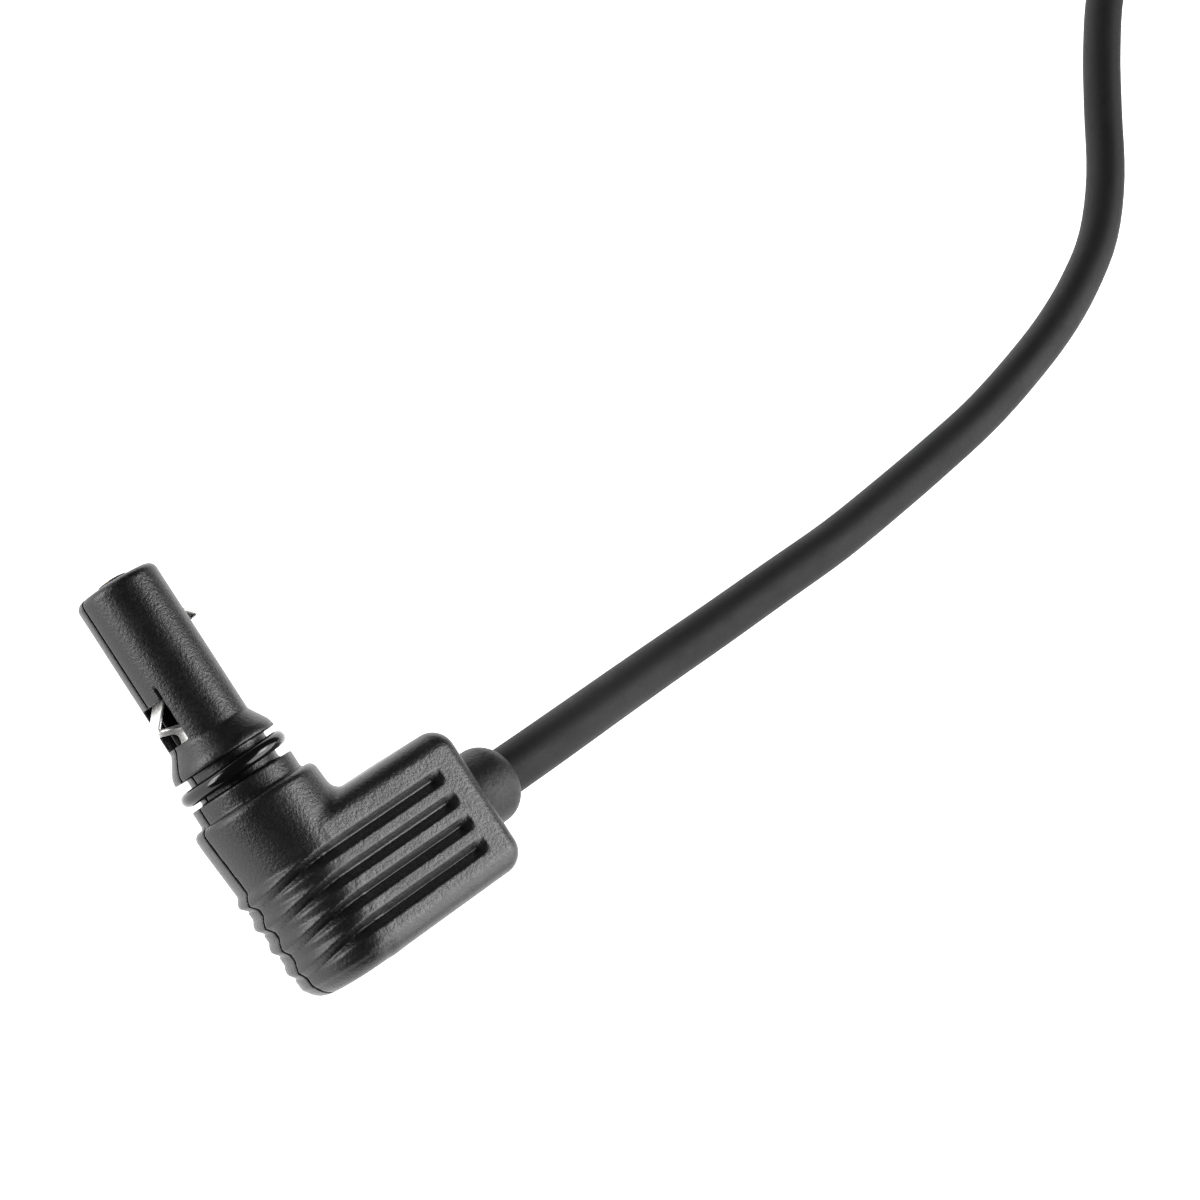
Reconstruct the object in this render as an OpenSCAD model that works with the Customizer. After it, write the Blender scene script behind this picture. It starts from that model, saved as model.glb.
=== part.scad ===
// Electronic cable release: right-angle camera plug, cord and a handset with a two-step button.
// Frame: +Y is the way the plug goes into its socket, +X is the way the cord leaves it, +Z is up.
// The origin is on the barrel's axis, in the plane of its front rim.

/* [Plug barrel] */
// Diameter of the barrel that enters the socket
barrel_d = 7.5; // [6.4:0.1:9]
// Length of the barrel, from its rim to the flare
barrel_len = 14.9; // [12.4:0.1:18]
// Thickness of the barrel's wall
barrel_wall = 0.85; // [0.7:0.05:1.1]
// Thickness of the barrel's front wall
barrel_end = 1.2; // [0.8:0.1:1.5]
// Rounding of the barrel's rim
rim_round = 0.6; // [0.2:0.1:1]
// Diameter of the insulated nose in the front wall
nose_d = 2.8; // [2.4:0.1:3.2]
// How far the nose stands out of the front wall
nose_proud = 0.2; // [0:0.05:0.4]

/* [Seal] */
// Diameter of the flare in front of the O-ring
flare_d = 9.5; // [9:0.1:10.4]
// Length of the flare's cone
flare_len = 1.8; // [1.2:0.1:2.4]
// Length of the lip behind the cone
lip_len = 0.55; // [0.3:0.05:0.9]
// Width of the O-ring's groove
groove_w = 2.55; // [2.1:0.05:3]
// Thickness of the O-ring's cord
ring_section = 1.3; // [1.1:0.1:1.8]
// Length of the plain step behind the groove
spigot_len = 1.65; // [1:0.05:2.4]

/* [Plug housing] */
// Diameter of the housing's round side
neck_d = 11.8; // [10.8:0.1:13]
// Length of the round neck above the grip
neck_len = 3.25; // [2.6:0.05:4]
// Height of the grip, along the barrel's axis
grip_h = 14.1; // [12.5:0.1:17]
// Reach of the grip from the barrel's axis to its end face
grip_reach = 17; // [14.5:0.1:20.4]
// Wall of the housing
housing_wall = 1.6; // [1.2:0.1:2]
// Rounding of the grip's corners
corner_r = 2; // [1:0.1:2.5]
// Gap between the two half shells
seam_gap = 0.1; // [0.04:0.02:0.2]
// Number of grooves on each face of the grip
rib_count = 4; // [2:1:4]
// Distance from one groove to the next
rib_pitch = 2.3; // [2:0.1:2.5]
// Width of a groove
rib_w = 1.45; // [1:0.05:1.7]
// Depth of a groove
rib_depth = 0.7; // [0.4:0.05:1]

/* [Contacts] */
// Diameter of the bore that takes the socket's centre pin
pin_bore_d = 1.2; // [1:0.05:1.3]
// Depth of that bore
pin_bore_depth = 8; // [6:0.5:10]
// Width of the two contact springs
strip_w = 2.2; // [1.8:0.1:2.4]
// Thickness of the two contact springs
strip_t = 0.35; // [0.25:0.05:0.4]
// How far a spring's ridge stands out of the barrel
ridge_proud = 1; // [0.6:0.1:1.2]

/* [Cord] */
// Diameter of the cord
cord_d = 4.5; // [3.5:0.1:5]
// Diameter of the strain relief on the plug
boss_d = 7.2; // [6:0.1:8.6]
// Length of the strain relief outside the plug
boss_len = 5.8; // [4.8:0.1:7]

/* [Handset] */
// Length of the handset's body
hs_len = 62; // [60:1:75]
// Width of the handset's body
hs_w = 20; // [18:0.5:24]
// Height of the handset's body
hs_h = 14; // [14:0.5:17]
// Wall of the handset's shells
hs_wall = 1.6; // [1.2:0.1:2]
// Length of the release button
button_len = 14; // [12:0.5:17]
// Width of the release button
button_w = 10; // [8:0.5:12]
// Full travel of the release button
button_travel = 1.6; // [1.2:0.1:1.6]
// Travel of the lock slider
lock_travel = 4; // [3:0.5:4]
// Thickness of the switch's leaves
leaf_t = 0.25; // [0.2:0.05:0.3]
// Width of the switch's leaves
leaf_w = 4; // [3:0.5:6]

/* [Hidden] */
$fn = 64;
eps = 0.02;
fit = 0.05;
slide = 0.25;

// Plug: radii, and places along the barrel's axis, where Y falls from 0 at the rim
barrel_r = barrel_d / 2;
bore_r = barrel_r - barrel_wall;
nose_r = nose_d / 2;
flare_r = flare_d / 2;
neck_r = neck_d / 2;
y_flare = -barrel_len;
y_lip = y_flare - flare_len;
y_groove = y_lip - lip_len;
y_spigot = y_groove - groove_w;
y_shoulder = y_spigot - spigot_len;
y_grip = y_shoulder - neck_len;
y_base = y_grip - grip_h;
y_cord = (y_grip + y_base) / 2 + 0.15;
floor_z = -neck_r;
x_wall = grip_reach - housing_wall;
y_chamber = y_shoulder - 2.2;
chamber_r = neck_r - housing_wall;

// Contacts
carrier_r = bore_r - fit;
carrier_back = y_shoulder - 1.2;
contact_r = pin_bore_d / 2 + 0.3;
strip_x = carrier_r - 0.5;
pocket_x = contact_r + 0.3;
ridge_x = barrel_r + ridge_proud - strip_t / 2;
tip_ridge_y = -0.4 * barrel_len;
base_ridge_y = y_flare + 2.75;
tip_hinge_y = tip_ridge_y - 6.6;
base_hinge_y = base_ridge_y - 4.4;
root_len = 0.6;
window_w = 3.5;
tag_x = 1.9;
tag_r = 0.4;
tag_back = carrier_back - 2.4;

// Strain relief and crimp
boss_r = boss_d / 2;
collar_r = cord_d / 2 + 0.9;
flange_r = boss_r + 0.5;
flange_t = 0.9;
boss_tip_x = grip_reach + boss_len;
crimp_len = 3;
crimp_x = x_wall - flange_t - 0.3 - crimp_len;
cord_r = cord_d / 2;

// Cord: a route of chosen points from the strain relief to the coil, and from the coil to the handset
cord_sides = 8;
lead_route = [
    [crimp_x + fit, y_cord, 0], [boss_tip_x + 2, y_cord, 0], [32, -31.6, -0.9], [40, -31.6, -2.4],
    [48, -31.6, -3.5], [56, -31.6, -3.6], [66, -31.5, -3.6], [76, -31.4, -3.6], [86, -30.8, -3.6],
    [95, -30.1, -3.6], [104, -29.2, -3.6], [113, -27.7, -3.6], [122, -25.7, -3.6], [130, -23.1, -3.6],
    [137.5, -19.6, -3.6], [144.5, -14.2, -3.6], [151, -7.2, -3.6], [157, -1, -3.6], [164, 5, -3.6],
    [173, 10, -3.6], [184, 13, -3.6], [197, 14, -3.6], [206, 14.1, -3.6]];
coil_x = 212;
coil_y = -13;
coil_mid_r = 22.5;
coil_pitch = 4.6;
coil_in_r = coil_mid_r - coil_pitch - cord_r - 0.1;
coil_out_r = coil_mid_r + coil_pitch + cord_r + 0.1;
coil_h = 2 * cord_d + 0.1;
tail_route = [
    [218, 13.8, 0.9], [224, 13.1, 0.7], [229.5, 11.6, 0.4], [234.3, 9.3, 0.1], [238.3, 6.8, -0.1],
    [242, 4.75, -0.15], [245.5, 3.3, -0.15], [249, 2.65, -0.15], [253.5, 2.5, -0.15], [259, 2.5, -0.15]];

// Handset, in its own frame: X from the cord's end, Y from the middle, Z from the floor
hs_x = 253.5;
hs_y = 2.5;
hs_corner = 5;
hs_split = hs_h / 2;
relief_len = 9;
relief_r = 3.5;
relief_neck_r = cord_r + 0.9;
hs_cord_z = hs_wall + relief_neck_r + 1;
ceiling_z = hs_h - hs_wall;
post_near_x = 7.5;
post_far_x = hs_len - 6;
post_y = -hs_w / 2 + 4.6;
post_r = 2.8;
flange_out = 1.5;
button_x = post_far_x - post_r - 0.7 - flange_out - button_len / 2;
stem_x = button_x - 3;
button_proud = 1.4;
flange_top = ceiling_z - 0.2;
flange_h = 1;
flange_low = flange_top - flange_h;
stem_r = 0.9;
spring_x = button_x + 4.5;
guide_r = 1;
spring_wire_r = 0.25;
spring_r = 1.7;
spring_low = 3.2;
leaf_root_x = 28;
leaf_tip_x = stem_x + 2.4;
common_z = flange_low - 3.6;
focus_z = common_z - 1;
release_z = focus_z - 1.65;
block_x = 20;
block_w = 9;
block_top = common_z + 1.3;
screw_x = 24;
lock_x = 21;
lock_len = 9;
lock_w = 6;
lock_plate_t = 1;
tongue_z = flange_top - button_travel + 0.15;
tongue_tip = button_x - button_len / 2 - flange_out - lock_travel + 0.5;
clamp_x = 3.5;
clamp_len = 3;
head_r = 2;
head_h = 1.2;
thread_r = 0.9;
head_deep = 0.3;

// Unit vector, and the frame that a swept section uses at a point of its route
function unit(v) = v / norm(v);
function heading(p, i) = unit(p[min(i + 1, len(p) - 1)] - p[max(i - 1, 0)]);
function sideways(d) = unit(cross(abs(d[2]) > 0.9 ? [1, 0, 0] : [0, 0, 1], d));
function ring_at(c, d, r, sides) = [
    for (k = [0 : sides - 1])
        let (a = 360 * (k + 0.5) / sides, s = sideways(d), u = cross(d, s))
        c + r * (s * cos(a) + u * sin(a))];

// A round section swept along the points of a route
module swept(route, r, sides) {
    n = len(route);
    rings = [for (i = [0 : n - 1]) each ring_at(route[i], heading(route, i), r, sides)];
    walls = [for (i = [0 : n - 2]) for (k = [0 : sides - 1])
        [i * sides + k, i * sides + (k + 1) % sides, (i + 1) * sides + (k + 1) % sides, (i + 1) * sides + k]];
    caps = [[for (k = [sides - 1 : -1 : 0]) k], [for (k = [0 : sides - 1]) (n - 1) * sides + k]];
    polyhedron(points = rings, faces = [for (f = concat(walls, caps)) [for (k = [len(f) - 1 : -1 : 0]) f[k]]]);
}

// A smooth route: each stretch of the chosen points is cut in two on a Catmull-Rom curve
function mid(p, i) = let (a = p[max(i - 1, 0)], b = p[i], c = p[i + 1], d = p[min(i + 2, len(p) - 1)])
    (9 * (b + c) - a - d) / 16;
function smooth(p) = [for (i = [0 : len(p) - 1]) each (i < len(p) - 1 ? [p[i], mid(p, i)] : [p[i]])];

// A thin strip along the points of a flat line, its corners mitred
function normal_at(p, i) = let (
    a = unit(p[i] - p[max(i - 1, 0)] + (i == 0 ? p[1] - p[0] : [0, 0])),
    b = unit(p[min(i + 1, len(p) - 1)] - p[i] + (i == len(p) - 1 ? p[i] - p[i - 1] : [0, 0])),
    m = unit([-a[1] - b[1], a[0] + b[0]])) m / max(0.5, m * [-a[1], a[0]]);
module strip(line, t, w) {
    n = len(line);
    left = [for (i = [0 : n - 1]) line[i] + normal_at(line, i) * t / 2];
    right = [for (i = [n - 1 : -1 : 0]) line[i] - normal_at(line, i) * t / 2];
    translate([0, 0, -w / 2]) linear_extrude(w) polygon(concat(left, right));
}

// A turned shape about the barrel's axis, from points [radius, y]
module turned(profile) rotate([90, 0, 0]) mirror([0, 0, 1]) rotate_extrude() polygon(profile);
module rod(r, y_from, y_to) translate([0, y_from, 0]) rotate([90, 0, 0]) cylinder(r = r, h = y_from - y_to);
module block(x, y, z) translate([x[0], y[0], z[0]]) cube([x[1] - x[0], y[1] - y[0], z[1] - z[0]]);

// Outline of a rectangle with round corners
module round_rect(len, wid, r) {
    translate([r, -wid / 2]) square([len - 2 * r, wid]);
    translate([0, -wid / 2 + r]) square([len, wid - 2 * r]);
    for (x = [r, len - r], y = [-wid / 2 + r, wid / 2 - r]) translate([x, y]) circle(r);
}

// Plug housing
module barrel_outside() {
    rim = [for (a = [90 : -15 : 0]) [barrel_r - rim_round + rim_round * cos(a), -rim_round + rim_round * sin(a)]];
    turned(concat([[0, 0]], rim, [
        [barrel_r, y_flare], [flare_r, y_lip], [flare_r, y_groove], [barrel_r, y_groove], [barrel_r, y_spigot],
        [flare_r, y_spigot], [flare_r, y_shoulder], [neck_r - 0.7, y_shoulder], [neck_r, y_shoulder - 0.7],
        [neck_r, y_base + 1.2], [neck_r - 1.2, y_base], [0, y_base]]));
}
module grip_outside() translate([0, 0, -neck_r]) linear_extrude(2 * neck_r) {
    block_h = y_grip - y_base;
    translate([0, y_base + corner_r]) square([grip_reach, block_h - 2 * corner_r]);
    translate([0, y_base]) square([grip_reach - corner_r, block_h]);
    for (y = [y_base + corner_r, y_grip - corner_r]) translate([grip_reach - corner_r, y]) circle(corner_r);
}
module plug_cavity() {
    rod(bore_r, -barrel_end, y_chamber - eps);
    rod(nose_r + fit, 1, -barrel_end - eps);
    rod(chamber_r, y_chamber, y_base + housing_wall);
    block([0, x_wall], [y_base + housing_wall, y_grip - housing_wall], [-chamber_r, chamber_r]);
}
module contact_window(side, y_front, y_back) {
    low = side > 0 ? 1 : -barrel_r - 1;
    block([low, low + barrel_r], [y_back, y_front], [-window_w / 2, window_w / 2]);
}
module groove_cut(k) {
    y = y_grip - 3 - k * rib_pitch;
    for (s = [0, 1]) mirror([0, 0, s]) translate([0, 0, neck_r - rib_depth]) rotate([0, 90, 0])
        linear_extrude(grip_reach - 3) polygon([
            [0, y - rib_w / 2], [-rib_depth - eps, y + eps], [-rib_depth - eps, y - rib_w - eps]]);
}
module side_rib(k) translate([0, y_grip - 4 - k * rib_pitch, 0]) rotate([90, 0, 0]) rotate([0, 0, 115])
    rotate_extrude(angle = 130) translate([neck_r - 0.1, 0]) circle(0.45, $fn = 24);
module plug_body() difference() {
    union() {
        barrel_outside();
        grip_outside();
        for (k = [0 : rib_count - 1]) side_rib(k);
    }
    plug_cavity();
    contact_window(1, tip_ridge_y + 1.9, tip_ridge_y - 0.9);
    contact_window(-1, base_ridge_y + 1.7, y_flare + 0.5);
    for (k = [0 : rib_count - 1]) groove_cut(k);
    translate([x_wall - 1, y_cord, 0]) rotate([0, 90, 0]) cylinder(r = collar_r + fit, h = 5);
}
module plug_front_shell() color([0.10, 0.10, 0.11]) intersection() {
    plug_body();
    block([-20, 40], [-60, 5], [seam_gap / 2, 20]);
}
module plug_rear_shell() color([0.08, 0.08, 0.09]) intersection() {
    plug_body();
    block([-20, 40], [-60, 5], [-20, -seam_gap / 2]);
}
module o_ring() color([0.03, 0.03, 0.03]) translate([0, (y_groove + y_spigot) / 2, 0]) rotate([90, 0, 0])
    rotate_extrude() translate([barrel_r + fit + ring_section / 2, 0]) circle(ring_section / 2);

// Contacts inside the barrel
module spring_pocket(side, y_front, y_back) {
    low = side > 0 ? pocket_x : -pocket_x - barrel_r;
    block([low, low + barrel_r], [y_back, y_front], [-strip_w / 2 - 0.2, strip_w / 2 + 0.2]);
}
module contact_carrier() color([0.16, 0.16, 0.17]) difference() {
    union() {
        rod(carrier_r, -barrel_end - fit, carrier_back);
        rod(nose_r, nose_proud, -barrel_end - 1);
    }
    rod(contact_r + eps, 1, -pin_bore_depth - 2);
    rod(tag_r + eps, -pin_bore_depth - 1, carrier_back - 1);
    spring_pocket(1, tip_ridge_y + 2.6, tip_hinge_y - root_len - 0.2);
    spring_pocket(-1, base_ridge_y + 2.7, base_hinge_y - root_len - 0.2);
    for (s = [-1, 1]) translate([0, 0, s * tag_x]) rod(tag_r + eps, carrier_back + 3, carrier_back - 1);
}
module centre_contact() color([0.85, 0.68, 0.34]) difference() {
    union() {
        rod(contact_r, nose_proud, -pin_bore_depth - 2 + eps);
        rod(tag_r, -pin_bore_depth - 1.5, tag_back);
    }
    rod(pin_bore_d / 2, 1, nose_proud - pin_bore_depth);
}
module tip_contact_spring() color([0.85, 0.85, 0.86]) strip([
    [strip_x, tip_ridge_y + 2], [strip_x + 0.15, tip_ridge_y + 1.5], [ridge_x - 0.15, tip_ridge_y + 0.25],
    [ridge_x, tip_ridge_y], [ridge_x - 0.2, tip_ridge_y - 0.15], [strip_x + 0.35, tip_ridge_y - 0.5],
    [strip_x, tip_ridge_y - 1], [strip_x, tip_hinge_y - root_len]], strip_t, strip_w);
module base_contact_spring() color([0.85, 0.85, 0.86]) strip([
    [-strip_x, base_ridge_y + 2.1], [-strip_x - 0.1, base_ridge_y + 1.6], [-ridge_x, base_ridge_y],
    [-strip_x - 0.6, base_ridge_y - 0.9], [-strip_x, base_ridge_y - 1.6],
    [-strip_x, base_hinge_y - root_len]], strip_t, strip_w);
module solder_tags() color([0.85, 0.68, 0.34])
    for (s = [-1, 1]) translate([0, 0, s * tag_x]) rod(tag_r, carrier_back + 3, tag_back);

// Strain relief, crimp and wires in the plug
module along_x(x, y, z, r, h) translate([x, y, z]) rotate([0, 90, 0]) cylinder(r = r, h = h);
module plug_strain_relief() color([0.06, 0.06, 0.06]) difference() {
    union() {
        translate([grip_reach + eps, y_cord, 0]) rotate([0, 90, 0]) rotate_extrude() polygon(concat(
            [[0, 0], [boss_r, 0]],
            [for (a = [0 : 15 : 60]) [boss_r - 2.3 + 2.3 * cos(a), boss_len - 2.3 + 2.3 * sin(a)]],
            [[cord_r + 0.2, boss_len], [0, boss_len]]));
        along_x(x_wall - 0.5, y_cord, 0, collar_r, housing_wall + 1);
        along_x(x_wall - flange_t - eps, y_cord, 0, flange_r, flange_t);
    }
    along_x(x_wall - 5, y_cord, 0, cord_r + eps, 20);
}
module cable_crimp() color([0.75, 0.76, 0.78]) difference() {
    along_x(crimp_x, y_cord, 0, cord_r + 0.4, crimp_len);
    along_x(crimp_x - 1, y_cord, 0, cord_r + eps, crimp_len + 2);
}
module wire(tint, route) color(tint) swept(smooth(route), 0.45, 8);
module plug_wire(tint, z, from_y) wire(tint, [
    [crimp_x - 0.2, y_cord + z * 0.3, z * 0.4], [crimp_x - 1.6, y_cord + 0.4, z * 0.5], [crimp_x - 4, y_cord + 2, z * 0.8],
    [2.2, y_cord + 4, z], [0.4, y_cord + 5.5, z], [0, from_y - 0.8, z], [0, from_y - 0.05, z]]);
module plug_wire_centre() plug_wire([0.75, 0.12, 0.1], 0, tag_back);
module plug_wire_tip() plug_wire([0.9, 0.88, 0.8], tag_x, tag_back);
module plug_wire_base() plug_wire([0.9, 0.75, 0.1], -tag_x, tag_back);

// Cord
module cord_lead() color([0.05, 0.05, 0.05]) swept(smooth(lead_route), cord_r, cord_sides);
module cord_coil() color([0.05, 0.05, 0.05]) translate([coil_x, coil_y, floor_z]) difference() {
    cylinder(r = coil_out_r, h = coil_h);
    translate([0, 0, -1]) cylinder(r = coil_in_r, h = coil_h + 2);
}
module cord_tail() color([0.05, 0.05, 0.05]) swept(smooth(tail_route), cord_r, cord_sides);

// Handset
module in_handset() translate([hs_x, hs_y, floor_z]) children();
module hs_solid(z_from, z_to, inset) translate([inset, 0, z_from]) linear_extrude(z_to - z_from)
    round_rect(hs_len - 2 * inset, hs_w - 2 * inset, hs_corner - inset);
module relief_hole() along_x(-1, 0, hs_cord_z, relief_neck_r + fit, hs_wall + 2);
module handset_bottom_shell() color([0.10, 0.10, 0.11]) in_handset() difference() {
    union() {
        difference() {
            hs_solid(0, hs_split, 0);
            hs_solid(hs_wall, hs_split + 1, hs_wall);
        }
        for (x = [post_near_x, post_far_x]) translate([x, post_y, 1]) cylinder(r = post_r, h = hs_split - 1.05);
        translate([screw_x, 0, 1]) cylinder(r = 3, h = release_z - 3);
        block([clamp_x, clamp_x + clamp_len], [-1.5, 1.5], [1, hs_cord_z - cord_r - 0.4]);
        translate([spring_x, 0, 1]) cylinder(r = 2.6, h = spring_low - 1);
        translate([spring_x, 0, 1]) cylinder(r = guide_r, h = spring_low);
    }
    relief_hole();
    translate([screw_x, 0, hs_wall]) cylinder(r = thread_r + eps, h = hs_split);
    for (x = [post_near_x, post_far_x]) translate([x, post_y, -1]) {
        cylinder(r = thread_r + fit, h = hs_split + 2);
        cylinder(r = head_r + fit, h = 1 + head_deep + head_h + eps);
    }
}
module handset_top_shell() color([0.10, 0.10, 0.11]) in_handset() difference() {
    union() {
        difference() {
            hs_solid(hs_split + eps, hs_h, 0);
            hs_solid(hs_split - 1, ceiling_z, hs_wall);
        }
        for (x = [post_near_x, post_far_x]) translate([x, post_y, hs_split + 0.05])
            cylinder(r = post_r, h = ceiling_z - hs_split);
    }
    relief_hole();
    for (x = [post_near_x, post_far_x]) translate([x, post_y, 1]) cylinder(r = thread_r + eps, h = hs_split + 3);
    translate([button_x - button_len / 2 - slide, 0, ceiling_z - 1]) linear_extrude(9)
        round_rect(button_len + 2 * slide, button_w + 2 * slide, 4);
    block([lock_x - 0.4, lock_x + 4 + lock_travel + 0.4], [-1.5 - slide, 1.5 + slide], [ceiling_z - 1, hs_h + 1]);
}
module handset_strain_relief() color([0.06, 0.06, 0.06]) in_handset() difference() {
    union() {
        translate([-eps, 0, hs_cord_z]) rotate([0, -90, 0]) cylinder(r1 = relief_r, r2 = cord_r + 0.5, h = relief_len);
        along_x(-1, 0, hs_cord_z, relief_neck_r, hs_wall + 1.2);
        along_x(hs_wall + eps, 0, hs_cord_z, relief_neck_r + 0.9, 0.9);
    }
    along_x(-relief_len - 1, 0, hs_cord_z, cord_r + eps, 20);
}
module handset_cable_clamp() color([0.75, 0.76, 0.78]) in_handset() difference() {
    along_x(clamp_x, 0, hs_cord_z, cord_r + 0.4, clamp_len);
    along_x(clamp_x - 1, 0, hs_cord_z, cord_r + eps, clamp_len + 2);
}
module release_button() color([0.13, 0.13, 0.14]) in_handset() {
    translate([button_x - button_len / 2, 0, flange_low + eps]) linear_extrude(hs_h + button_proud - flange_low)
        round_rect(button_len, button_w, 3.8);
    translate([button_x - button_len / 2 - flange_out, 0, flange_low]) linear_extrude(flange_h)
        round_rect(button_len + 2 * flange_out, button_w + 2 * flange_out, 4.5);
    translate([stem_x, 0, common_z + leaf_t / 2 + 0.05]) cylinder(r = stem_r, h = flange_low - common_z);
    translate([spring_x, 0, spring_low + 1 + button_travel + 0.5]) cylinder(r = guide_r, h = 5);
}
module button_spring() color([0.8, 0.8, 0.82]) in_handset() {
    turns = 6;
    steps = 12;
    low = spring_low + spring_wire_r + eps;
    high = flange_low - spring_wire_r - eps;
    swept([for (i = [0 : turns * steps]) [
        spring_x + spring_r * cos(360 * i / steps), spring_r * sin(360 * i / steps),
        low + (high - low) * i / (turns * steps)]], spring_wire_r, 6);
}
module lock_slider() color([0.16, 0.16, 0.17]) in_handset() {
    translate([lock_x - 2.5, 0, hs_h + 0.15]) linear_extrude(1.2) round_rect(lock_len, lock_w, 1.5);
    for (k = [0 : 3]) block([lock_x - 0.5 + 1.4 * k, lock_x + 0.1 + 1.4 * k], [-2.2, 2.2], [hs_h + 1.3, hs_h + 1.6]);
    block([lock_x, lock_x + 4], [-1.5, 1.5], [ceiling_z - 0.3, hs_h + 0.3]);
    block([lock_x - 2.5, lock_x + 6.5], [-4, 4], [ceiling_z - 0.2 - lock_plate_t, ceiling_z - 0.2]);
    block([lock_x + 5, tongue_tip], [-3, 3], [tongue_z, tongue_z + 0.35]);
    block([lock_x + 5, lock_x + 6.5], [-3, 3], [tongue_z, ceiling_z - 0.7]);
}
module leaf(z, x_from, x_to) block([x_from, x_to], [-leaf_w / 2, leaf_w / 2], [z - leaf_t / 2, z + leaf_t / 2]);
module leaf_block() color([0.45, 0.3, 0.16]) in_handset() difference() {
    block([block_x, leaf_root_x], [-block_w / 2, block_w / 2], [release_z - 2 + 0.02, block_top]);
    for (z = [common_z, focus_z])
        block([leaf_root_x - 1.8, leaf_root_x + 1], [-leaf_w / 2 - 0.2, leaf_w / 2 + 0.2], [z - 0.33, z + 0.33]);
    block([leaf_root_x - 1.8, leaf_root_x + 1], [-leaf_w / 2 - eps, leaf_w / 2 + eps],
        [release_z - leaf_t / 2 - eps, release_z + leaf_t / 2 + eps]);
    translate([screw_x, 0, 0]) cylinder(r = thread_r + fit, h = 20);
}
module leaf_screw() color([0.8, 0.8, 0.82]) in_handset() {
    translate([screw_x, 0, block_top + eps]) cylinder(r = 1.7, h = 1);
    translate([screw_x, 0, hs_wall + 0.1]) cylinder(r = thread_r, h = block_top - hs_wall);
}
module common_leaf() color([0.85, 0.68, 0.34]) in_handset() leaf(common_z, leaf_root_x - 1.5, leaf_tip_x);
module focus_leaf() color([0.85, 0.68, 0.34]) in_handset() leaf(focus_z, leaf_root_x - 1.5, leaf_tip_x - 0.8);
module release_leaf() color([0.85, 0.68, 0.34]) in_handset() leaf(release_z, leaf_root_x - 1.7, leaf_tip_x - 0.8);
module handset_wire(tint, side, z) in_handset() wire(tint, [
    [clamp_x + clamp_len + 0.1, side, hs_cord_z], [clamp_x + clamp_len + 2, side * 1.2, hs_cord_z],
    [12, side * 2, (hs_cord_z + z) / 2], [16, side * 2.4, z], [18.5, side * 2.4, z],
    [block_x - 0.05, side * 2.4, z]]);
module handset_wire_common() handset_wire([0.75, 0.12, 0.1], 0, common_z);
module handset_wire_focus() handset_wire([0.9, 0.88, 0.8], 1, focus_z);
module handset_wire_release() handset_wire([0.9, 0.75, 0.1], -1, release_z);
module housing_screws() color([0.25, 0.25, 0.27]) in_handset()
    for (x = [post_near_x, post_far_x]) translate([x, post_y, head_deep]) {
        difference() {
            cylinder(r = head_r, h = head_h);
            for (a = [0, 90]) rotate([0, 0, a]) translate([-1.2, -0.25, -1]) cube([2.4, 0.5, 1.5]);
        }
        translate([0, 0, head_h - 0.1]) cylinder(r = thread_r, h = hs_split + 1);
    }

plug_front_shell();
plug_rear_shell();
o_ring();
contact_carrier();
centre_contact();
tip_contact_spring();
base_contact_spring();
solder_tags();
plug_strain_relief();
cable_crimp();
plug_wire_centre();
plug_wire_tip();
plug_wire_base();
cord_lead();
cord_coil();
cord_tail();
handset_top_shell();
handset_bottom_shell();
handset_strain_relief();
handset_cable_clamp();
release_button();
button_spring();
lock_slider();
leaf_block();
leaf_screw();
common_leaf();
focus_leaf();
release_leaf();
handset_wire_common();
handset_wire_focus();
handset_wire_release();
housing_screws();
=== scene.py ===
"""Looks of an electronic cable release: a right-angle sealed plug, its cord and a handset.

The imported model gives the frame: +Y is the way the plug goes in, +X the way the cord leaves it, +Z is up, and
the origin is on the barrel's axis at its rim. Sizes below are in millimetres and become metres when a mesh is
made. Moulded shapes are signed distance fields, negative inside, turned into meshes by a surface net.
"""

from __future__ import annotations

import logging
import math
from dataclasses import dataclass
from enum import Enum
from typing import Callable, Sequence

import bmesh
import bpy
import numpy as np
from mathutils import Matrix, Vector


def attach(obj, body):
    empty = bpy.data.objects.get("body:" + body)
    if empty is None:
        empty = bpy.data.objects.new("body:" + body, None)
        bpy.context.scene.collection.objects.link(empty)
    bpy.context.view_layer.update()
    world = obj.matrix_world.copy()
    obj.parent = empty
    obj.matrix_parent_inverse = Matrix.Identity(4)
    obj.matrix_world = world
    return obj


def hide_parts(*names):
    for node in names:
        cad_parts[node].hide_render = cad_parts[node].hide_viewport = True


MM = 0.001
LOG = logging.getLogger("cable_release")
Array = np.ndarray
Pair = tuple[float, float]
Point = tuple[float, float, float]
Piece = bpy.types.Object
Node = bpy.types.Node
Socket = bpy.types.NodeSocket
Field = Callable[[Array, Array, Array], Array]

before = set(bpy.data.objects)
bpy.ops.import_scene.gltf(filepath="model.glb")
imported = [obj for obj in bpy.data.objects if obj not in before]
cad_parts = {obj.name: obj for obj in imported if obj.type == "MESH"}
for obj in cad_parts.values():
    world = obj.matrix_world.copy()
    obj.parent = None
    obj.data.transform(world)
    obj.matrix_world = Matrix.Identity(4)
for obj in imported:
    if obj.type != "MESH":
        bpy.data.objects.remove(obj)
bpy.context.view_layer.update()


class Body(str, Enum):
    """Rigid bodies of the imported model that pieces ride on."""

    MAIN = "release_body"
    TIP_SPRING = "tip_spring"
    BASE_SPRING = "base_spring"
    BUTTON = "button"
    LOCK = "lock"


# Finishes


def feed(node: Node, **values: object) -> Node:
    """Sets a node's inputs, named with underscores for spaces, and returns the node."""
    for name, value in values.items():
        node.inputs[name.replace("_", " ")].default_value = value
    return node


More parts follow.
